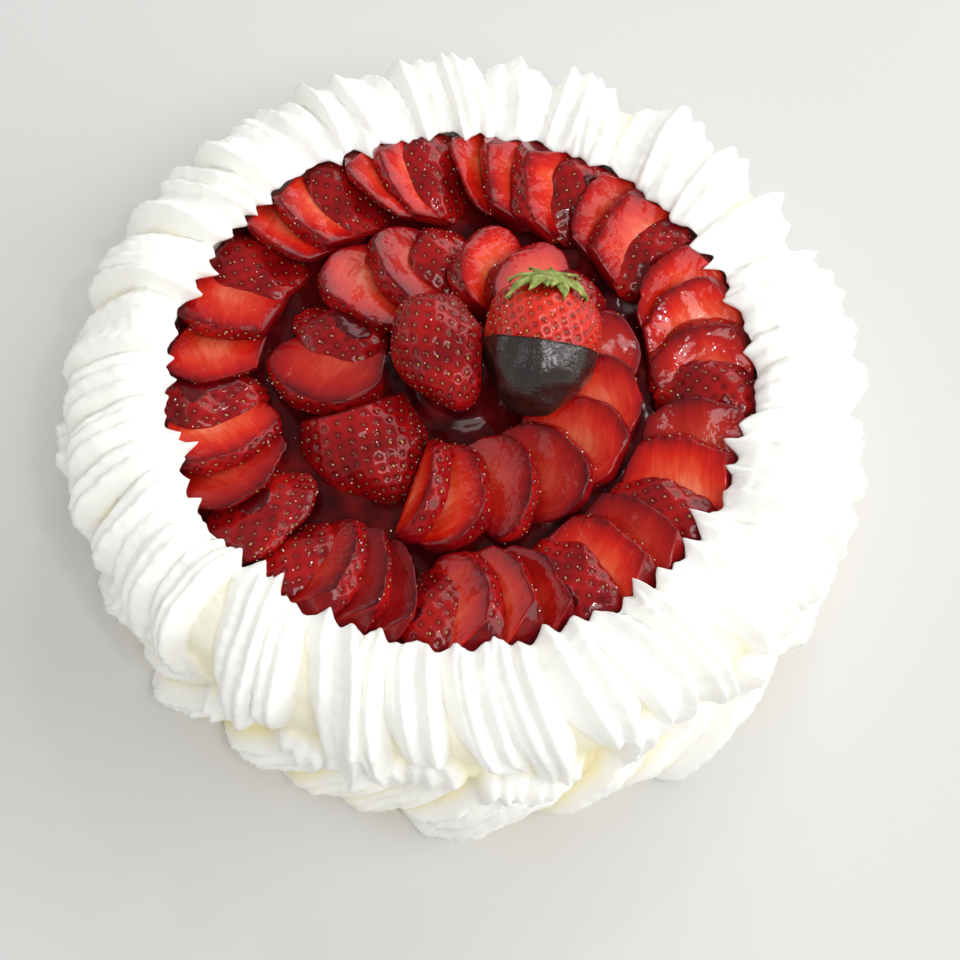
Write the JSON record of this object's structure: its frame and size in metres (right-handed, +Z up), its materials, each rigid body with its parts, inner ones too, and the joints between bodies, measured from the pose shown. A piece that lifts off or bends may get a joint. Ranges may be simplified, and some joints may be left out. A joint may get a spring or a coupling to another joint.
{
  "type": "strawberry cream cake",
  "caption": "Round uncut cake with piped whipped cream round its side and rim, a top of fanned glazed strawberry slices, and a chocolate-dipped strawberry half in the middle.",
  "frame": {"origin": "centre of the cake's flat base, on the surface it stands on", "axes": "+Z up, -Y towards the side that the picture is taken from"},
  "size_m": [0.2633, 0.2638, 0.1112],
  "materials": {
    "cream": "soft whipped cream",
    "jelly": "dark glossy jelly",
    "berry_flesh": "glazed cut strawberry",
    "berry_skin": "glazed strawberry skin with seeds",
    "chocolate": "dark chocolate, soft gloss",
    "leaf": "green calyx leaf"
  },
  "bodies": {
    "root": {"cake": "cream", "jelly": "jelly", "half_berry": "berry_skin", "glazed_berry": "berry_skin", "dipped_berry": "berry_skin", "chocolate": "chocolate", "calyx": "leaf", "outer_slice_01": "berry_flesh", "outer_slice_02": "berry_flesh", "outer_slice_03": "berry_flesh", "outer_slice_04": "berry_flesh", "outer_slice_05": "berry_flesh", "outer_slice_06": "berry_flesh", "outer_slice_07": "berry_flesh", "outer_slice_08": "berry_flesh", "outer_slice_09": "berry_flesh", "outer_slice_10": "berry_flesh", "outer_slice_11": "berry_flesh", "outer_slice_12": "berry_flesh", "outer_slice_13": "berry_flesh", "outer_slice_14": "berry_flesh", "outer_slice_15": "berry_flesh", "outer_slice_16": "berry_flesh", "outer_slice_17": "berry_flesh", "outer_slice_18": "berry_flesh", "outer_slice_19": "berry_flesh", "outer_slice_20": "berry_flesh", "outer_slice_21": "berry_flesh", "outer_slice_22": "berry_flesh", "outer_slice_23": "berry_flesh", "outer_slice_24": "berry_flesh", "outer_slice_25": "berry_flesh", "outer_slice_26": "berry_flesh", "outer_slice_27": "berry_flesh", "outer_slice_28": "berry_flesh", "outer_slice_29": "berry_flesh", "outer_slice_30": "berry_flesh", "outer_slice_31": "berry_flesh", "outer_slice_32": "berry_flesh", "outer_slice_33": "berry_flesh", "outer_slice_34": "berry_flesh", "outer_slice_35": "berry_flesh", "outer_slice_36": "berry_flesh", "outer_slice_37": "berry_flesh", "outer_slice_38": "berry_flesh", "inner_slice_01": "berry_flesh", "inner_slice_02": "berry_flesh", "inner_slice_03": "berry_flesh", "inner_slice_04": "berry_flesh", "inner_slice_05": "berry_flesh", "inner_slice_06": "berry_flesh", "inner_slice_07": "berry_flesh", "inner_slice_08": "berry_flesh", "inner_slice_09": "berry_flesh", "inner_slice_10": "berry_flesh", "inner_slice_11": "berry_flesh", "inner_slice_12": "berry_flesh", "inner_slice_13": "berry_flesh", "inner_slice_14": "berry_flesh", "inner_slice_15": "berry_flesh"}
  },
  "joints": []
}
